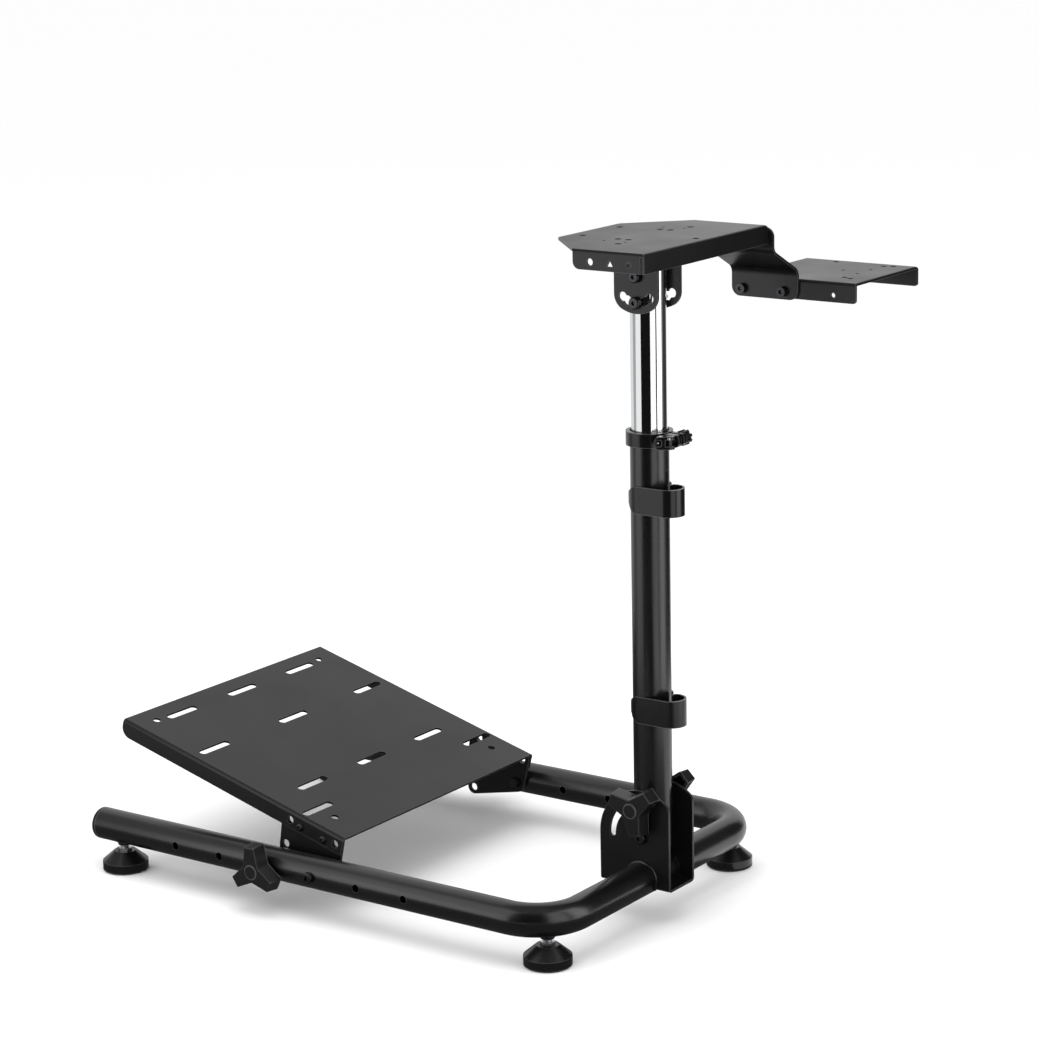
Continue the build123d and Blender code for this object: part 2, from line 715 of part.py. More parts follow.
# Wheel plate: a sheet with its nose corners cut off, turned down on three sides with small
# gaps between the flanges, and drilled. Either side flange can carry the shifter arm.
plate_half = plate_w / 2
plate_frame = Plane(origin=(mid_x, col_y, plate_top_z))
with BuildPart() as wheel_plate:
    with BuildSketch(plate_frame):
        with BuildLine():
            Polyline(
                (-plate_half, -plate_back),
                (plate_half, -plate_back),
                (plate_half, plate_side),
                (plate_nose_w / 2, plate_front),
                (-plate_nose_w / 2, plate_front),
                (-plate_half, plate_side),
                close=True,
            )
        make_face()
        fillet(vertices().group_by(Axis.Y)[-1], radius=plate_tip_r)
    extrude(amount=-plate_flange)
    fillet(
        edges().filter_by(Axis.Y).group_by(Axis.Z)[-1]
        + edges().filter_by(Axis.X).group_by(Axis.Z)[-1].group_by(Axis.Y)[0],
        radius=plate_bend + sheet,
    )
    with BuildSketch(plate_frame.offset(-sheet)):
        with Locations((0, sheet - plate_back)):
            Rectangle(
                plate_w - 2 * sheet,
                plate_back + 2 * plate_front,
                align=(Align.CENTER, Align.MIN),
            )
    extrude(amount=-plate_flange, mode=Mode.SUBTRACT)
    with BuildSketch(Plane.YZ.offset(mid_x)):
        with Locations((col_y + plate_side, plate_top_z - sheet)):
            Rectangle(2 * plate_front, plate_flange, align=(Align.MIN, Align.MAX))
    extrude(amount=plate_w, both=True, mode=Mode.SUBTRACT)
    fillet(
        edges().filter_by(Axis.X).group_by(Axis.Z)[0].group_by(Axis.Y)[-1],
        radius=flange_round,
    )
    with BuildSketch(plate_frame.offset(-sheet - plate_bend)):
        for side, _ in sides:
            with Locations((side * (plate_half - sheet / 2), sheet + corner_gap / 2 - plate_back)):
                Rectangle(2 * sheet, corner_gap)
    extrude(amount=-plate_flange, mode=Mode.SUBTRACT)
    with BuildSketch(plate_frame):
        with Locations(
            (-front_pair_half, front_pair_y),
            (front_pair_half, front_pair_y),
            (-inner_half, inner_y_front),
            (inner_half, inner_y_front),
            (-inner_half, inner_y_back),
            (inner_half, inner_y_back),
            (-outer_half, outer_y),
            (outer_half, outer_y),
            (0, rear_hole_y),
        ):
            Circle(wheel_hole_d / 2)
        with Locations(
            (-small_half, small_y_front),
            (small_half, small_y_front),
            (-small_half, small_y_back),
            (small_half, small_y_back),
        ):
            Circle(wheel_pin_hole_d / 2)
    extrude(amount=-2 * sheet, mode=Mode.SUBTRACT)
    with BuildSketch(Plane.YZ.offset(mid_x)):
        with Locations((col_y - flange_hole_y, plate_top_z - flange_hole_drop)):
            Circle(hole_d / 2)
        with Locations((col_y - flange_mark_y, plate_top_z - flange_mark_drop)):
            RegularPolygon(flange_mark_r, 3, rotation=90)
        with Locations((col_y - flange_rear_hole_y, plate_top_z - flange_hole_drop)):
            Circle(arm_bolt_d / 2 + turn_fit)
    extrude(amount=plate_w, both=True, mode=Mode.SUBTRACT)
wheel_plate.part.label = "wheel_plate"
export_step(wheel_plate.part, "parts/wheel_plate.step")

# Shifter arm: a sheet bolted flat to the wheel plate's side, sloping out and down to a foot
arm_x = mid_x + plate_half
arm_top_z = plate_top_z - arm_top_gap
arm_bend_z = plate_top_z - sheet - arm_drop
arm_low_z = arm_bend_z - arm_slope_drop
arm_foot_z = arm_low_z - arm_foot
arm_foot_x = arm_x + arm_slope_run
with BuildPart() as shifter_arm:
    with BuildSketch(Plane(origin=(0, col_y + arm_front, 0), x_dir=(1, 0, 0), z_dir=(0, -1, 0))):
        with BuildLine():
            FilletPolyline(
                (arm_x, arm_top_z),
                (arm_x, arm_bend_z),
                (arm_foot_x, arm_low_z),
                (arm_foot_x, arm_foot_z),
                radius=arm_bend,
            )
            offset(amount=sheet, side=Side.LEFT)
        make_face()
    extrude(amount=arm_front + arm_back)
    with BuildSketch(Plane.YZ.offset(arm_x)):
        with Locations((col_y + arm_front, arm_foot_z)):
            Rectangle(arm_front + arm_back, arm_top_z - arm_foot_z, align=(Align.MAX, Align.MIN))
        fillet(vertices(), radius=arm_corner_r)
    extrude(amount=2 * arm_slope_run, both=True, mode=Mode.INTERSECT)
    with BuildSketch(Plane.YZ.offset(arm_foot_x)):
        with Locations(
            (col_y + arm_bolt_front_y, arm_foot_z + arm_bolt_rise),
            (col_y + arm_bolt_back_y, arm_foot_z + arm_bolt_rise),
        ):
            Circle(arm_bolt_d / 2 + turn_fit)
    extrude(amount=2 * sheet, both=True, mode=Mode.SUBTRACT)
    with BuildSketch(Plane.YZ.offset(arm_x)):
        with Locations(
            (col_y - flange_hole_y, plate_top_z - flange_hole_drop),
            (col_y - flange_rear_hole_y, plate_top_z - flange_hole_drop),
        ):
            Circle(arm_bolt_d / 2 + turn_fit)
    extrude(amount=2 * sheet, both=True, mode=Mode.SUBTRACT)
shifter_arm.part.label = "shifter_arm"
export_step(shifter_arm.part, "parts/shifter_arm.step")

# Shifter plate: a sheet turned down on both sides, bolted to the arm through its near flange
shifter_x = arm_foot_x + sheet
shifter_frame = Plane(origin=(shifter_x, col_y, shifter_top_z))
with BuildPart() as shifter_plate:
    with BuildSketch(Plane(origin=(shifter_x, col_y - shifter_front, 0), x_dir=(1, 0, 0), z_dir=(0, -1, 0))):
        with BuildLine():
            FilletPolyline(
                (0, shifter_top_z - shifter_flange),
                (0, shifter_top_z),
                (shifter_w, shifter_top_z),
                (shifter_w, shifter_top_z - shifter_flange),
                radius=plate_bend + sheet,
            )
            offset(amount=sheet, side=Side.RIGHT)
        make_face()
    extrude(amount=shifter_back - shifter_front)
    with BuildSketch(Plane.YZ.offset(shifter_x)):
        with Locations((col_y - shifter_front, shifter_top_z)):
            Rectangle(shifter_back - shifter_front, shifter_flange, align=(Align.MAX, Align.MAX))
        fillet(vertices().group_by(Axis.Y)[0] + vertices().group_by(Axis.Y)[-1], radius=shifter_corner_r)
    extrude(amount=2 * shifter_w, both=True, mode=Mode.INTERSECT)
    with BuildSketch(shifter_frame):
        with Locations(
            (shifter_mid - shift_rear_half, shift_rear_y),
            (shifter_mid + shift_rear_half, shift_rear_y),
            (shifter_mid - shift_mid_half, shift_mid_y),
            (shifter_mid + shift_mid_half, shift_mid_y),
            (shifter_mid - shift_front_half, shift_front_y),
            (shifter_mid + shift_front_half, shift_front_y),
        ):
            Circle(shifter_hole_d / 2)
        with Locations(
            (shifter_mid - shift_in_half, shift_in_y),
            (shifter_mid + shift_in_half, shift_in_y),
            (shifter_mid, shift_centre_y),
        ):
            Circle(shifter_small_hole_d / 2)
    extrude(amount=-2 * sheet, mode=Mode.SUBTRACT)
    with BuildSketch(Plane.YZ.offset(shifter_x)):
        with Locations(
            (col_y + arm_bolt_front_y, arm_foot_z + arm_bolt_rise),
            (col_y + arm_bolt_back_y, arm_foot_z + arm_bolt_rise),
            (col_y + shift_side_hole_y, arm_foot_z + arm_bolt_rise),
        ):
            Circle(arm_bolt_d / 2 + turn_fit)
    extrude(amount=2 * sheet, both=True, mode=Mode.SUBTRACT)
shifter_plate.part.label = "shifter_plate"
export_step(shifter_plate.part, "parts/shifter_plate.step")

# Bolts of the shifter arm: two through the wheel plate's flange, with their heads outside the
# arm, and two that hold the shifter plate's flange to the arm's foot
arm_bolt_z = arm_foot_z + arm_bolt_rise
for name, bolt_x, bolt_y, bolt_z, side in (
    ("arm_top_bolt_front", arm_x, col_y - flange_hole_y, plate_top_z - flange_hole_drop, 1),
    ("arm_top_bolt_rear", arm_x, col_y - flange_rear_hole_y, plate_top_z - flange_hole_drop, 1),
    ("arm_bolt_front", arm_foot_x + sheet, col_y + arm_bolt_front_y, arm_bolt_z, -1),
    ("arm_bolt_rear", arm_foot_x + sheet, col_y + arm_bolt_back_y, arm_bolt_z, -1),
):
    with BuildPart() as arm_bolt:
        with BuildSketch(side_plane(side, bolt_x, bolt_y, bolt_z)):
            Circle(arm_bolt_d / 2)
        extrude(amount=sheet, both=True)
        with BuildSketch(side_plane(side, bolt_x, bolt_y, bolt_z).offset(sheet)):
            Circle(arm_head_d / 2)
        extrude(amount=arm_head_h)
        with BuildSketch(side_plane(side, bolt_x, bolt_y, bolt_z).offset(sheet + arm_head_h)):
            RegularPolygon(socket_d / 2, 6)
        extrude(amount=-socket_depth, mode=Mode.SUBTRACT)
        with BuildSketch(side_plane(side, bolt_x, bolt_y, bolt_z).offset(-sheet)):
            RegularPolygon(arm_bolt_d, 6)
        extrude(amount=-arm_nut_h)
    arm_bolt.part.label = name
    export_step(arm_bolt.part, f"parts/{name}.step")

# Pedal plate: a sloping sheet with rows of slots for the pedals, turned down on both sides
slope = radians(pedal_deg)
pedal_half = half_rail - tube_r - washer_t + sheet
pedal_y = col_y + pedal_edge_y
pedal_frame = Plane(origin=(mid_x, pedal_y, pedal_edge_z), x_dir=(1, 0, 0), z_dir=(0, -sin(slope), cos(slope)))
pedal_end = Plane(origin=(mid_x, pedal_y, pedal_edge_z), x_dir=(1, 0, 0), z_dir=(0, cos(slope), sin(slope)))
side_hole_places = (side_hole_in, side_hole_in + rail_hole_pitch)


def under_plate(along, depth):
    """The y and z of a point at this distance along the pedal plate and this depth below it."""
    return (
        pedal_y + along * cos(slope) + depth * sin(slope),
        pedal_edge_z + along * sin(slope) - depth * cos(slope),
    )


with BuildPart() as pedal_plate:
    with BuildSketch(pedal_end):
        with BuildLine():
            FilletPolyline(
                (-pedal_half, pedal_flange),
                (-pedal_half, 0),
                (pedal_half, 0),
                (pedal_half, pedal_flange),
                radius=pedal_bend + sheet,
            )
            offset(amount=sheet, side=Side.LEFT)
        make_face()
    extrude(amount=pedal_len)
    fillet(edges().filter_by(Axis.X).group_by(Axis.Y)[-1], radius=pedal_corner_r)
    with BuildSketch(pedal_frame):
        with Locations(
            (-slot_far_x, slot_far_s),
            (0, slot_far_s),
            (slot_far_x, slot_far_s),
            (-slot_mid_x, slot_mid_s),
            (0, slot_mid_s),
            (slot_mid_x, slot_mid_s),
            (-slot_low_x, slot_low_s),
            (0, slot_low_s),
            (slot_low_x, slot_low_s),
            (-slot_near_x, slot_near_s),
            (slot_near_x, slot_near_s),
        ):
            SlotOverall(slot_len, slot_w)
        with Locations(
            (-pin_hole_x, pin_hole_far_s),
            (pin_hole_x, pin_hole_far_s),
            (-pin_hole_x, pin_hole_near_s),
            (pin_hole_x, pin_hole_near_s),
        ):
            Circle(pin_hole_d / 2)
    extrude(amount=-2 * sheet, mode=Mode.SUBTRACT)
    with BuildSketch(Plane.YZ.offset(mid_x)):
        for along in side_hole_places:
            with Locations(under_plate(along, side_hole_depth)):
                Circle(rail_hole_d / 2)
    extrude(amount=2 * pedal_half, both=True, mode=Mode.SUBTRACT)
pedal_plate.part.label = "pedal_plate"
export_step(pedal_plate.part, "parts/pedal_plate.step")

# Pedal brackets: a cheek inside each rail, with three holes for the plate's set angles
bracket_outer = half_rail - tube_r - washer_t
for side, hand in sides:
    with BuildPart() as pedal_bracket:
        with BuildSketch(Plane.YZ.offset(mid_x + side * bracket_outer)):
            band_mid = (pedal_bracket_inset + pedal_bracket_len) / 2
            band_top = sheet + pedal_bend
            with Locations(under_plate(band_mid, (band_top + pedal_flange) / 2)):
                Rectangle(
                    pedal_bracket_len - pedal_bracket_inset,
                    pedal_flange - band_top,
                    rotation=pedal_deg,
                )
            with Locations((pivot_hole_y, axis_z)):
                Circle(pedal_pivot_rim)
                with PolarLocations(
                    rail_hole_pitch, 3, start_angle=-set_angle_step, angular_range=2 * set_angle_step, endpoint=True
                ):
                    Circle(pedal_lock_rim)
            make_hull()
            with Locations((pivot_hole_y, axis_z)):
                Circle(rail_hole_d / 2, mode=Mode.SUBTRACT)
                with PolarLocations(
                    rail_hole_pitch, 3, start_angle=-set_angle_step, angular_range=2 * set_angle_step, endpoint=True
                ):
                    Circle(rail_hole_d / 2, mode=Mode.SUBTRACT)
            for along in side_hole_places:
                with Locations(under_plate(along, side_hole_depth)):
                    Circle(rail_hole_d / 2, mode=Mode.SUBTRACT)
        extrude(amount=-side * sheet)
    pedal_bracket.part.label = f"pedal_bracket_{hand}"
    export_step(pedal_bracket.part, f"parts/pedal_bracket_{hand}.step")

# Pedal bolts: each crosses its rail, a spacer washer and the bracket, with a nut inside.
# The pivot bolt has a round head; the lock bolt runs out into its star knob instead.
for side, hand in sides:
    rail_outer = mid_x + side * (half_rail + tube_r)
    bracket_inner = mid_x + side * (bracket_outer - sheet)
    for name, bolt_y, runs_out in (
        (f"pedal_pivot_bolt_{hand}", pivot_hole_y, 0),
        (f"pedal_lock_bolt_{hand}", lock_hole_y, knob_bore_depth),
    ):
        with BuildPart() as pedal_bolt:
            with BuildSketch(side_plane(side, bracket_inner, bolt_y, axis_z)):
                Circle(bolt_d / 2)
            extrude(amount=tube_d + washer_t + sheet + runs_out)
            with BuildSketch(side_plane(side, mid_x + side * bracket_outer, bolt_y, axis_z)):
                Circle(head_d / 2)
            extrude(amount=washer_t)
            with BuildSketch(side_plane(side, bracket_inner, bolt_y, axis_z)):
                RegularPolygon(nut_d / 2, 6)
            extrude(amount=-nut_h)
            if not runs_out:
                with BuildSketch(side_plane(side, rail_outer, bolt_y, axis_z)):
                    Circle(head_d / 2)
                extrude(amount=head_h)
                fillet(faces().sort_by(Axis.X)[0 if side < 0 else -1].edges(), radius=head_h / 3)
                with BuildSketch(side_plane(side, rail_outer, bolt_y, axis_z).offset(head_h)):
                    RegularPolygon(socket_d / 2, 6)
                extrude(amount=-socket_depth, mode=Mode.SUBTRACT)
        pedal_bolt.part.label = name
        export_step(pedal_bolt.part, f"parts/{name}.step")
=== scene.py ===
from math import cos, pi, radians, sin, sqrt

import bmesh
import bpy
from mathutils import Matrix, Vector


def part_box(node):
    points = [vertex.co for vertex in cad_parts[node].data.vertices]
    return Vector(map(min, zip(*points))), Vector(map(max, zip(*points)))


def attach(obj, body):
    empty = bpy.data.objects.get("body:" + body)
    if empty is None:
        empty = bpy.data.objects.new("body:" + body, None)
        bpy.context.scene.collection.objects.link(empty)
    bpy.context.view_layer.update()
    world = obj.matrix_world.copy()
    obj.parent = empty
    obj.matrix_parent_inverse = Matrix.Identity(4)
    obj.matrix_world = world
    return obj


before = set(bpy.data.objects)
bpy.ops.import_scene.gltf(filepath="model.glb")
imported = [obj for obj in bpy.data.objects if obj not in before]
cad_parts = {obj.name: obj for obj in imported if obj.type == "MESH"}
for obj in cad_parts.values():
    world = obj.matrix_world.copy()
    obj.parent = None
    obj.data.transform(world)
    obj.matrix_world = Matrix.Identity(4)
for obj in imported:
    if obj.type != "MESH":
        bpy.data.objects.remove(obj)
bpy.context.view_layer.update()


# Base frame. One long round steel tube bent into a U, open under the pedals.
# It is degreased, sprayed with black powder and baked, which leaves a satin
# skin with a faint orange-peel ripple.
def new_finish(name, sockets):
    """A new material, with the values that are the same all over its surface."""
    material = bpy.data.materials.new(name)
    material.use_nodes = True
    for socket, value in sockets.items():
        material.node_tree.nodes["Principled BSDF"].inputs[socket].default_value = value
    return material


def noise(material, scale, detail):
    """Soft noise that keeps its place on the piece, as a number from 0 to 1."""
    nodes, links = material.node_tree.nodes, material.node_tree.links
    place = nodes.new("ShaderNodeTexCoord")
    cloud = nodes.new("ShaderNodeTexNoise")
    cloud.inputs["Scale"].default_value = scale
    cloud.inputs["Detail"].default_value = detail
    links.new(place.outputs["Object"], cloud.inputs["Vector"])
    return cloud.outputs["Fac"]


def uneven_gloss(material, scale, detail, low, high, span=(0, 1)):
    """Lets the roughness wander from low to high as the noise goes over its span."""
    nodes, links = material.node_tree.nodes, material.node_tree.links
    gloss = nodes.new("ShaderNodeMapRange")
    gloss.inputs["From Min"].default_value, gloss.inputs["From Max"].default_value = span
    gloss.inputs["To Min"].default_value = low
    gloss.inputs["To Max"].default_value = high
    links.new(noise(material, scale, detail), gloss.inputs["Value"])
    links.new(gloss.outputs["Result"], nodes["Principled BSDF"].inputs["Roughness"])


def fine_relief(material, scale, detail, strength, height):
    """Roughens the skin with a relief of this height in metres."""
    nodes, links = material.node_tree.nodes, material.node_tree.links
    relief = nodes.new("ShaderNodeBump")
    relief.inputs["Strength"].default_value = strength
    relief.inputs["Distance"].default_value = height
    links.new(noise(material, scale, detail), relief.inputs["Height"])
    links.new(relief.outputs["Normal"], nodes["Principled BSDF"].inputs["Normal"])


def mix_colours(material, amount, first, second):
    """Goes from one colour to another. A colour is four numbers or a socket."""
    nodes, links = material.node_tree.nodes, material.node_tree.links
    mix = nodes.new("ShaderNodeMix")
    mix.data_type = "RGBA"
    # The node has a set of sockets for each kind of value. These are a colour's.
    colour_inputs, colour_output = mix.inputs[6:8], mix.outputs[2]
    links.new(amount, mix.inputs[0])
    for socket, colour in zip(colour_inputs, (first, second)):
        if isinstance(colour, tuple):
            socket.default_value = colour
        else:
            links.new(colour, socket)
    return colour_output


def paint_edge_highlight(material, colour, reach, edge_highlight):
    """Paints a highlight along edges: the base colour turns lighter, to the given shade, within
    reach of an edge.
    """
    flat_likeness, edge_likeness, bevel_samples = 0.995, 0.88, 6
    nodes, links = material.node_tree.nodes, material.node_tree.links
    rounded = nodes.new("ShaderNodeBevel")
    rounded.samples = bevel_samples
    rounded.inputs["Radius"].default_value = reach
    flat = nodes.new("ShaderNodeNewGeometry")
    likeness = nodes.new("ShaderNodeVectorMath")
    likeness.operation = "DOT_PRODUCT"
    links.new(rounded.outputs["Normal"], likeness.inputs[0])
    links.new(flat.outputs["Normal"], likeness.inputs[1])
    near = nodes.new("ShaderNodeMapRange")
    near.inputs["From Min"].default_value = flat_likeness
    near.inputs["From Max"].default_value = edge_likeness
    links.new(likeness.outputs["Value"], near.inputs["Value"])
    mixed = mix_colours(material, near.outputs["Result"], colour, (edge_highlight, edge_highlight, edge_highlight, 1))
    links.new(mixed, nodes["Principled BSDF"].inputs["Base Color"])


def powder_coat(name, shade, roughness, ripple, ripple_scale, gloss_level, edge_highlight):
    """Black powder paint: near-black, with a fine ripple, uneven gloss and a painted highlight
    along its edges.
    """
    gloss_change = 0.035
    gloss_scale, gloss_span = 9, (0.35, 0.65)
    speckle_scale = ripple_scale * 2.4
    ripple_height = 0.0002
    highlight_reach = 0.0007
    dark = (shade * 0.8, shade * 0.8, shade * 0.82, 1)
    light = (shade * 1.25, shade * 1.25, shade * 1.3, 1)
    material = new_finish(name, {"Specular IOR Level": gloss_level})
    low, high = roughness - gloss_change, roughness + gloss_change
    uneven_gloss(material, gloss_scale, detail=4, low=low, high=high, span=gloss_span)
    speckled = mix_colours(material, noise(material, speckle_scale, detail=2), dark, light)
    # Painted highlight: the base colour turns lighter along every edge.
    paint_edge_highlight(material, speckled, highlight_reach, edge_highlight)
    fine_relief(material, ripple_scale, detail=3, strength=ripple, height=ripple_height)
    return material


def paint(material, *names):
    """Puts a finish on CAD pieces, in the slots that they already have."""
    for name in names:
        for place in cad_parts[name].material_slots:
            place.material = material


# Its edges are lightened as a painted highlight.
tube_paint = powder_coat(
    "tube_paint",
    shade=0.003,
    roughness=0.26,
    ripple=0.2,
    ripple_scale=420,
    gloss_level=0.8,
    edge_highlight=0.07,
)
paint(tube_paint, "base_frame", "column_tube")

corners = ("rear_left", "rear_right", "front_left", "front_right")
stud_places = {}
for corner in corners:
    low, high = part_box(f"foot_stud_{corner}")
    stud_places[corner] = Vector(((low.x + high.x) / 2, (low.y + high.y) / 2, 0))
tube_r = 0.021
tube_z = 0.0573


def node_tree(name, sizes):
    """A tree with a named input for the geometry, for each size and for the finish."""
    tree = bpy.data.node_groups.new(name, "GeometryNodeTree")
    tree.interface.new_socket("Geometry", in_out="INPUT", socket_type="NodeSocketGeometry")
    for size, kind in sizes.items():
        tree.interface.new_socket(size, in_out="INPUT", socket_type=f"NodeSocket{kind}")
    tree.interface.new_socket("Finish", in_out="INPUT", socket_type="NodeSocketMaterial")
    tree.interface.new_socket("Geometry", in_out="OUTPUT", socket_type="NodeSocketGeometry")
    return tree, tree.nodes.new("NodeGroupInput"), tree.nodes.new("NodeGroupOutput")


def close_tree(tree, source, inlet, outlet):
    """Ends a tree with plain faces in their finish."""
    real = tree.nodes.new("GeometryNodeRealizeInstances")
    finish = tree.nodes.new("GeometryNodeSetMaterial")
    tree.links.new(source, real.inputs["Geometry"])
    tree.links.new(real.outputs["Geometry"], finish.inputs["Geometry"])
    tree.links.new(inlet.outputs["Finish"], finish.inputs["Material"])
    tree.links.new(finish.outputs["Geometry"], outlet.inputs["Geometry"])


def sum_node(tree, operation, *values):
    """One sum on sockets or numbers."""
    node = tree.nodes.new("ShaderNodeMath")
    node.operation = operation
    for socket, value in zip(node.inputs, values):
        if isinstance(value, (int, float)):
            socket.default_value = value
        else:
            tree.links.new(value, socket)
    return node.outputs[0]


def bead_tree():
    """A weld bead along each line of a mesh: a round rod with the ripples of its passes."""
    steps_per_ripple = 5
    rod_sides = 10
    thinnest, thickest = 0.92, 1.06
    tree, inlet, outlet = node_tree(
        "weld_bead", {"Radius": "Float", "Step": "Float", "Ripple": "Float", "Seed": "Int"}
    )
    path = tree.nodes.new("GeometryNodeMeshToCurve")
    even = tree.nodes.new("GeometryNodeResampleCurve")
    even.mode = "LENGTH"
    width = tree.nodes.new("GeometryNodeSetCurveRadius")
    ring = tree.nodes.new("GeometryNodeCurvePrimitiveCircle")
    rod = tree.nodes.new("GeometryNodeCurveToMesh")
    count = tree.nodes.new("GeometryNodeInputIndex")
    chance = tree.nodes.new("FunctionNodeRandomValue")
    wave = sum_node(tree, "MULTIPLY", count.outputs[0], 2 * pi / steps_per_ripple)
    wave = sum_node(tree, "SINE", wave)
    wave = sum_node(tree, "MULTIPLY", wave, inlet.outputs["Ripple"])
    chance.inputs["Min"].default_value = thinnest
    chance.inputs["Max"].default_value = thickest
    tree.links.new(inlet.outputs["Seed"], chance.inputs["Seed"])
    wave = sum_node(tree, "ADD", wave, chance.outputs["Value"])
    ring.inputs["Resolution"].default_value = rod_sides
    tree.links.new(inlet.outputs["Geometry"], path.inputs["Mesh"])
    tree.links.new(path.outputs["Curve"], even.inputs["Curve"])
    tree.links.new(inlet.outputs["Step"], even.inputs["Length"])
    tree.links.new(even.outputs["Curve"], width.inputs["Curve"])
    tree.links.new(wave, width.inputs["Radius"])
    tree.links.new(inlet.outputs["Radius"], ring.inputs["Radius"])
    tree.links.new(width.outputs["Curve"], rod.inputs["Curve"])
    tree.links.new(ring.outputs["Curve"], rod.inputs["Profile Curve"])
    rod.inputs["Fill Caps"].default_value = True
    close_tree(tree, rod.outputs["Mesh"], inlet, outlet)
    return tree


def grow(name, points, edges, tree, sizes, finish, body, slot):
    """Runs a tree on points and lines and keeps the plain mesh, riding on its body."""
    start = bpy.data.meshes.new(name)
    start.from_pydata(points, edges, [])
    piece = bpy.data.objects.new(name, start)
    bpy.context.collection.objects.link(piece)
    growth = piece.modifiers.new("growth", "NODES")
    growth.node_group = tree
    for socket in tree.interface.items_tree:
        if socket.in_out == "INPUT" and socket.name in sizes:
            growth[socket.identifier] = sizes[socket.name]
        elif socket.in_out == "INPUT" and socket.name == "Finish":
            growth[socket.identifier] = finish
    seen = piece.evaluated_get(bpy.context.evaluated_depsgraph_get())
    result = bpy.data.meshes.new_from_object(seen)
    piece.modifiers.clear()
    piece.data = result
    result.name = name
    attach(piece, body)


def chain(lines):
    """Points and edges of several lines, each given as (points, closed)."""
    points, edges = [], []
    for line, closed in lines:
        first = len(points)
        points += line
        edges += [(first + i, first + i + 1) for i in range(len(line) - 1)]
        if closed:
            edges.append((first + len(line) - 1, first))
    return points, edges


# A round seam holds each threaded boss under the tube. The rear ones stand
# where the tube bends, half way round its corner.
weld_bead = bead_tree()
boss_r = 0.0085
boss_turns = range(0, 360, 12)
rear_bend = 45
boss_lines = []
for corner, place in stud_places.items():
    bend = radians(rear_bend if corner.startswith("rear") else 0)
    if corner.endswith("right"):
        bend = -bend
    across = Vector((cos(bend), sin(bend), 0))
    along = Vector((-sin(bend), cos(bend), 0))
    line = []
    for turn in boss_turns:
        side, run = boss_r * cos(radians(turn)), boss_r * sin(radians(turn))
        depth = sqrt(tube_r ** 2 - side ** 2)
        line.append(place + across * side + along * run + Vector((0, 0, tube_z - depth)))
    boss_lines.append((line, True))
grow(
    "boss_welds",
    *chain(boss_lines),
    weld_bead,
    {"Radius": 0.0013, "Step": 0.0005, "Ripple": 0.14, "Seed": 3},
    tube_paint,
    "base",
    "black_frame",
)


# End caps. Pressed-in plastic plugs that close the two rails under the pedals.
# Injection moulded, with a soft satin skin.
def moulded(name, shade, roughness, grain, edge_highlight):
    """Moulded plastic: an even skin with a very fine mould grain and a painted highlight along
    its edges.
    """
    gloss_change, gloss_scale = 0.06, 60
    grain_scale, grain_height = 1900, 0.0001
    highlight_reach = 0.0014
    material = new_finish(name, {})
    # Painted highlight: the base colour turns lighter along every edge.
    paint_edge_highlight(material, (shade, shade, shade * 1.03, 1), highlight_reach, edge_highlight)
    low, high = roughness - gloss_change, roughness + gloss_change
    uneven_gloss(material, gloss_scale, detail=3, low=low, high=high)
    fine_relief(material, grain_scale, detail=1, strength=grain, height=grain_height)
    return material


# Its edges are lightened as a painted highlight.
cap_plastic = moulded("cap_plastic", shade=0.004, roughness=0.2, grain=0.12, edge_highlight=0.1)
paint(cap_plastic, "end_cap_left", "end_cap_right")


# Levelling feet. Four glossy moulded cones on a broad rim, each on a zinc
# plated M10 stud that screws into a boss under the tube.
# Its edges are lightened as a painted highlight.
foot_plastic = moulded("foot_plastic", shade=0.004, roughness=0.26, grain=0.15, edge_highlight=0.07)
paint(foot_plastic, *(f"foot_pad_{corner}" for corner in corners))


def bare_steel(name, shade, roughness):
    """Plated or blackened steel, glossier in some places than in others."""
    smoother, duller, gloss_scale = 0.1, 0.12, 260
    material = new_finish(name, {"Metallic": 1, "Base Color": (*shade, 1)})
    low, high = roughness - smoother, roughness + duller
    uneven_gloss(material, gloss_scale, detail=4, low=low, high=high)
    return material


zinc = bare_steel("zinc", shade=(0.62, 0.63, 0.65), roughness=0.3)
paint(zinc, *(f"foot_stud_{corner}" for corner in corners))


def thread_tree():
    """A thread ridge that winds up round each point."""
    steps_per_turn, ridge_sides = 28, 6
    tree, inlet, outlet = node_tree(
        "screw_thread",
        {"Turns": "Float", "Length": "Float", "Shank": "Float", "Ridge": "Float"},
    )
    coil = tree.nodes.new("GeometryNodeCurveSpiral")
    ring = tree.nodes.new("GeometryNodeCurvePrimitiveCircle")
    ridge = tree.nodes.new("GeometryNodeCurveToMesh")
    spread = tree.nodes.new("GeometryNodeInstanceOnPoints")
    coil.inputs["Resolution"].default_value = steps_per_turn
    ring.inputs["Resolution"].default_value = ridge_sides
    tree.links.new(inlet.outputs["Turns"], coil.inputs["Rotations"])
    tree.links.new(inlet.outputs["Length"], coil.inputs["Height"])
    tree.links.new(inlet.outputs["Shank"], coil.inputs["Start Radius"])
    tree.links.new(inlet.outputs["Shank"], coil.inputs["End Radius"])
    tree.links.new(inlet.outputs["Ridge"], ring.inputs["Radius"])
    tree.links.new(coil.outputs["Curve"], ridge.inputs["Curve"])
    tree.links.new(ring.outputs["Curve"], ridge.inputs["Profile Curve"])
    ridge.inputs["Fill Caps"].default_value = True
    tree.links.new(inlet.outputs["Geometry"], spread.inputs["Points"])
    tree.links.new(ridge.outputs["Mesh"], spread.inputs["Instance"])
    close_tree(tree, spread.outputs["Instances"], inlet, outlet)
    return tree


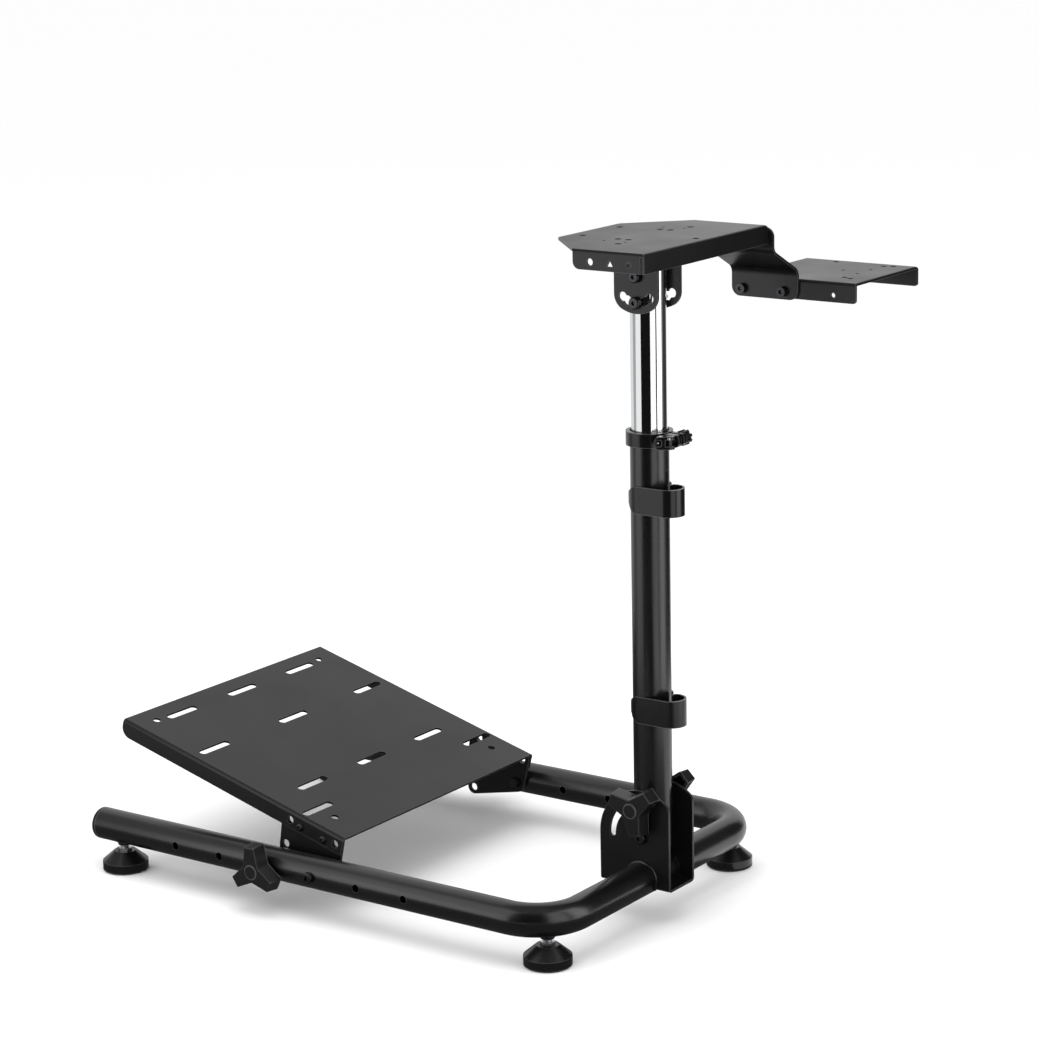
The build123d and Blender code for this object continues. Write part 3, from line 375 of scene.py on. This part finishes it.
nut_top = 0.03005
boss_bottom = 0.0343
thread_pitch = 0.0015
grow(
    "stud_threads",
    [place + Vector((0, 0, nut_top)) for place in stud_places.values()],
    [],
    thread_tree(),
    {
        "Turns": (boss_bottom - nut_top) / thread_pitch,
        "Length": boss_bottom - nut_top,
        "Shank": 0.005,
        "Ridge": 0.00045,
    },
    zinc,
    "base",
    "zinc_steel",
)


# Column bracket. A folded steel channel welded to the cross tube, with a hinge
# hole and an arc slot in each cheek, powder coated with a fine dry texture.
# Its edges are lightened as a painted highlight.
sheet_paint = powder_coat(
    "sheet_paint",
    shade=0.0035,
    roughness=0.34,
    ripple=0.4,
    ripple_scale=900,
    gloss_level=0.42,
    edge_highlight=0.13,
)
paint(sheet_paint, "column_bracket")

# A seam runs over the cross tube on the outer face of each cheek.
low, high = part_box("column_bracket")
cheek_faces = (low.x, high.x)
low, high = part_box("height_tube")
column_x, column_y = (low.x + high.x) / 2, (low.y + high.y) / 2
seam_r = tube_r + 0.0006
seam_turns = range(-30, 214, 6)
cheek_lines = []
for face in cheek_faces:
    line = []
    for turn in seam_turns:
        y = column_y + seam_r * cos(radians(turn))
        z = tube_z + seam_r * sin(radians(turn))
        line.append(Vector((face, y, z)))
    cheek_lines.append((line, False))
grow(
    "bracket_welds",
    *chain(cheek_lines),
    weld_bead,
    {"Radius": 0.0026, "Step": 0.0009, "Ripple": 0.16, "Seed": 8},
    tube_paint,
    "base",
    "black_frame",
)


# Hinge and lock bolts of the column. Blackened steel bolts with round heads,
# which go through both cheeks of the bracket and through the tube.
black_steel = bare_steel("black_steel", shade=(0.06, 0.06, 0.065), roughness=0.35)
paint(black_steel, "column_pivot_bolt", "column_lock_bolt")


# Star knobs. Three-armed grips, injection moulded. Two draw the column's
# bracket tight on its lock bolt, and two clamp the pedal brackets.
# Its edges are lightened as a painted highlight.
knob_plastic = moulded("knob_plastic", shade=0.008, roughness=0.22, grain=0.15, edge_highlight=0.16)
for knob in ("column_knob", "pedal_knob"):
    paint(knob_plastic, f"{knob}_left", f"{knob}_right")


# Clamp collar, its pin and lever. A slit plastic ring at the top of the black
# tube, drawn tight by an over-centre lever.
paint(cap_plastic, "clamp_collar", "clamp_lever")
paint(black_steel, "clamp_pin")


def turned(profile, place, axis, segments=24):
    """Points and faces of a turned form on a level axis. A ring is (radius, height,
    sides): sides is 0 for a round ring and 6 for a hexagon of that half width."""
    pole = Vector(axis).normalized()
    side = pole.cross(Vector((0, 0, 1))).normalized()
    rise = pole.cross(side)
    points, faces = [], []
    for radius, height, sides in profile:
        for i in range(segments):
            turn = 2 * pi * i / segments
            reach = radius
            if sides:
                flat = 2 * pi / sides
                reach = radius / cos((turn + flat / 2) % flat - flat / 2)
            points.append(
                Vector(place) + pole * height + (side * cos(turn) + rise * sin(turn)) * reach
            )
    for row in range(len(profile) - 1):
        for i in range(segments):
            a, b = row * segments + i, row * segments + (i + 1) % segments
            faces.append((a, b, b + segments, a + segments))
    for row, order in ((0, -1), (len(profile) - 1, 1)):
        points.append(Vector(place) + pole * profile[row][1])
        for i in range(segments):
            a, b = row * segments + i, row * segments + (i + 1) % segments
            faces.append((a, b, len(points) - 1)[::order])
    return points, faces


def assemble(name, parts, finish, body):
    """One piece from several point and face lists, with smooth round sides."""
    sharpest_smooth = radians(35)
    points, faces = [], []
    for part_points, part_faces in parts:
        first = len(points)
        points += part_points
        faces += [tuple(first + i for i in face) for face in part_faces]
    mesh = bpy.data.meshes.new(name)
    mesh.from_pydata(points, [], faces)
    shape = bmesh.new()
    shape.from_mesh(mesh)
    bmesh.ops.recalc_face_normals(shape, faces=shape.faces)
    shape.to_mesh(mesh)
    shape.free()
    mesh.shade_smooth()
    mesh.set_sharp_from_angle(angle=sharpest_smooth)
    mesh.materials.append(finish)
    piece = bpy.data.objects.new(name, mesh)
    bpy.context.collection.objects.link(piece)
    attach(piece, body)


# Two bright rivet ends on the lever's outer face: its hinge and its cam pin.
lever_out = (-0.848, -0.53, 0)
lever_hinge = (-0.0714, -0.3066, 0.61405)
cam_pin = (-0.0658, -0.3194, 0.6194)
rivet_segments = 16
rivet = [
    (0.0017, -0.0006, 0),
    (0.0017, 0.0002, 0),
    (0.0014, 0.0006, 0),
    (0.0008, 0.0008, 0),
]
assemble(
    "lever_rivets",
    [turned(rivet, place, lever_out, rivet_segments) for place in (lever_hinge, cam_pin)],
    zinc,
    "lever",
)


# Cable clips. Two sprung bands of moulded black plastic, snapped on the tube,
# each with an open loop for the leads.
paint(cap_plastic, "cable_clip_lower", "cable_clip_upper")


# Height tube. The inner tube of the column, hard chromed and polished, with
# the faintest haze from handling. It slides in the black tube.
chrome = new_finish("chrome", {"Metallic": 1, "Base Color": (0.86, 0.87, 0.88, 1)})
uneven_gloss(chrome, scale=14, detail=5, low=0.03, high=0.075)
paint(chrome, "height_tube")


# Tilt bracket, wheel plate and shifter arm and plate. Laser-cut and folded
# steel sheet in the same dry powder paint, held by blackened bolts.
paint(sheet_paint, "tilt_bracket", "wheel_plate", "shifter_arm", "shifter_plate")
paint(black_steel, "tilt_pivot_bolt", "tilt_lock_bolt", "arm_bolt_front", "arm_bolt_rear")
paint(black_steel, "arm_top_bolt_front", "arm_top_bolt_rear")

# A short seam joins each side of the tilt bracket to the wheel plate over it.
low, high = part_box("tilt_bracket")
middle_y = (low.y + high.y) / 2
seam_half = 0.026
head_lines = []
for x in (low.x, high.x):
    ends = [Vector((x, y, high.z)) for y in (middle_y - seam_half, middle_y + seam_half)]
    head_lines.append((ends, False))
grow(
    "head_welds",
    *chain(head_lines),
    weld_bead,
    {"Radius": 0.0015, "Step": 0.0006, "Ripple": 0.16, "Seed": 5},
    sheet_paint,
    "head",
    "black_sheet",
)


# Pedal plate and its brackets. Slotted steel sheet, folded down at both sides
# and powder coated. Bolts through the rails' holes carry the brackets.
paint(sheet_paint, "pedal_plate", "pedal_bracket_left", "pedal_bracket_right")
for bolt in ("pedal_pivot_bolt", "pedal_lock_bolt"):
    paint(black_steel, f"{bolt}_left", f"{bolt}_right")

# Button-head screws hold each flange of the pedal plate to its bracket, with a
# nut inside.
screw_head = [
    (0.0055, -0.0003, 0),
    (0.0055, 0.0008, 0),
    (0.0052, 0.0018, 0),
    (0.0042, 0.0027, 0),
    (0.0031, 0.0031, 0),
    (0.0019, 0.0030, 6),
    (0.0018, 0.0014, 6),
    (0.0008, 0.0012, 0),
]
screw_nut = [
    (0.0048, -0.0003, 6),
    (0.0050, 0.0001, 6),
    (0.0050, 0.0040, 6),
    (0.0046, 0.0045, 0),
    (0.0031, 0.0045, 0),
    (0.0030, 0.0056, 0),
    (0.0026, 0.0060, 0),
]
plate_slope = radians(15.2)
plate_y, plate_z = 0.0534, 0.1006
flange_out, cheek_in = 0.207, 0.201
screw_runs, screw_depth = (0.0304, 0.0683), 0.0152
screw_parts = []
for run in screw_runs:
    y = plate_y + run * cos(plate_slope) + screw_depth * sin(plate_slope)
    z = plate_z + run * sin(plate_slope) - screw_depth * cos(plate_slope)
    for way in (-1, 1):
        screw_parts.append(turned(screw_head, (column_x + way * flange_out, y, z), (way, 0, 0)))
        screw_parts.append(turned(screw_nut, (column_x + way * cheek_in, y, z), (-way, 0, 0)))
assemble("pedal_screws", screw_parts, black_steel, "base")


# Studio. A plain pale floor that runs out of sight under white air, soft panels
# of light, and a ring of white cards and black flags for reflections.
def level_square(half, height):
    """The corners and the one face of a level square round the middle of the floor."""
    signs = ((-1, -1), (1, -1), (1, 1), (-1, 1))
    return [(x * half, y * half, height) for x, y in signs], [(0, 1, 2, 3)]


floor_half = 45
air_glow = 1.06
floor_points, floor_faces = level_square(floor_half, 0)
floor_mesh = bpy.data.meshes.new("studio_floor")
floor_mesh.from_pydata(floor_points, [], floor_faces)
floor = bpy.data.objects.new("studio_floor", floor_mesh)
bpy.context.collection.objects.link(floor)
floor_paint = new_finish(
    "studio_floor",
    {"Base Color": (0.93, 0.93, 0.93, 1), "Roughness": 0.8, "Specular IOR Level": 0},
)
floor_mesh.materials.append(floor_paint)

world = bpy.data.worlds.new("studio_air")
world.use_nodes = True
air = world.node_tree.nodes["Background"]
air.inputs["Color"].default_value = (1, 1, 1, 1)
air.inputs["Strength"].default_value = air_glow
bpy.context.scene.world = world
bpy.context.scene.view_settings.view_transform = "Standard"


def softbox(name, place, aim, width, height, power):
    """A rectangular light panel at place that faces aim."""
    light = bpy.data.lights.new(name, "AREA")
    light.shape = "RECTANGLE"
    light.size = width
    light.size_y = height
    light.energy = power
    panel = bpy.data.objects.new(name, light)
    panel.location = place
    panel.rotation_euler = (Vector(aim) - Vector(place)).to_track_quat("-Z", "Y").to_euler()
    bpy.context.collection.objects.link(panel)


softbox("light_overhead", (-0.3, -0.2, 2.8), (0, 0, 0.3), width=2.2, height=2.2, power=30)
softbox("light_left", (-2.6, 0.9, 1.6), (0, 0, 0.4), width=1.2, height=2.0, power=12)
softbox("light_right", (0.6, -3.0, 1.5), (0, 0, 0.4), width=1.2, height=2.0, power=10)
softbox("light_low", (-2.4, 1.5, 0.55), (0, 0, 0.1), width=1.6, height=0.4, power=8)


def reflector(name, points, faces, glow):
    """A card or flag that only glossy surfaces see."""
    mesh = bpy.data.meshes.new(name)
    mesh.from_pydata(points, [], faces)
    finish = new_finish(
        name,
        {
            "Base Color": (0.002, 0.002, 0.002, 1),
            "Specular IOR Level": 0,
            "Emission Color": (1, 1, 1, 1),
            "Emission Strength": glow,
        },
    )
    mesh.materials.append(finish)
    card = bpy.data.objects.new(name, mesh)
    bpy.context.collection.objects.link(card)
    card.visible_camera = False
    card.visible_diffuse = False
    card.visible_shadow = False
    card.visible_transmission = False


# The ring stands round the column. A card's name, its first and last degree
# from the camera's side, and its glow.
view_azimuth = radians(-54.37)
ring_radius = 1.05
ring_bottom, ring_top = 0.02, 1.6
ring_step = radians(4)
ring_cards = (
    ("card_far_left", -180, -116, 0.78),
    ("card_left_dim", -116, -92, 0.4),
    ("card_left", -92, -52, 0.92),
    ("flag_wide", -52, 8, 0.005),
    ("card_front", 8, 41, 1.2),
    ("card_gap", 41, 50, 0.04),
    ("card_right", 50, 84, 1.8),
    ("card_fade", 84, 95, 0.3),
    ("flag_thin", 95, 140, 0.04),
    ("card_far_right", 140, 180, 0.95),
)
for card_name, first, last, glow in ring_cards:
    start, end = view_azimuth + radians(first), view_azimuth + radians(last)
    steps = max(1, round((end - start) / ring_step))
    points = []
    for step in range(steps + 1):
        turn = start + (end - start) * step / steps
        x, y = column_x + ring_radius * sin(turn), column_y - ring_radius * cos(turn)
        points += [(x, y, ring_bottom), (x, y, ring_top)]
    faces = [(2 * i, 2 * i + 2, 2 * i + 3, 2 * i + 1) for i in range(steps)]
    reflector(card_name, points, faces, glow)

# A dark flag over the stand, a dim card just over the floor, and a bright one
# at the right that shows along the underside of the tubes.
card_floor_z, card_right_z = 0.002, 0.004
card_right_plan = ((0.12, -0.3), (0.1, -1), (1, -1), (1, -0.1), (0.36, -0.1))
reflector("flag_ceiling", *level_square(ring_radius, ring_top), glow=0.15)
reflector("card_floor", *level_square(ring_radius, card_floor_z), glow=0.1)
reflector(
    "card_floor_right",
    [(x, y, card_right_z) for x, y in card_right_plan],
    [tuple(range(len(card_right_plan)))],
    glow=1.1,
)


# Camera. The photograph's own viewpoint, fitted to the solids: low, from the
# left of the driver's seat, through a long lens and rolled a little.
view_height = radians(13.59)
view_roll = radians(-1.195)
view_place = (-3.0979, -2.2700, 1.3797)
view_lens = 104.15
film_width = 36
sight_end = 100
back = Vector(
    (
        sin(view_azimuth) * cos(view_height),
        -cos(view_azimuth) * cos(view_height),
        sin(view_height),
    )
)
right = Vector((cos(view_azimuth), sin(view_azimuth), 0))
facing = Matrix((right, back.cross(right), back)).transposed().to_4x4()
camera_data = bpy.data.cameras.new("camera")
camera_data.sensor_fit = "AUTO"
camera_data.sensor_width = film_width
camera_data.lens = view_lens
camera_data.clip_end = sight_end
camera = bpy.data.objects.new("camera", camera_data)
camera.matrix_world = (
    Matrix.Translation(view_place) @ facing @ Matrix.Rotation(view_roll, 4, "Z")
)
bpy.context.collection.objects.link(camera)
bpy.context.scene.camera = camera
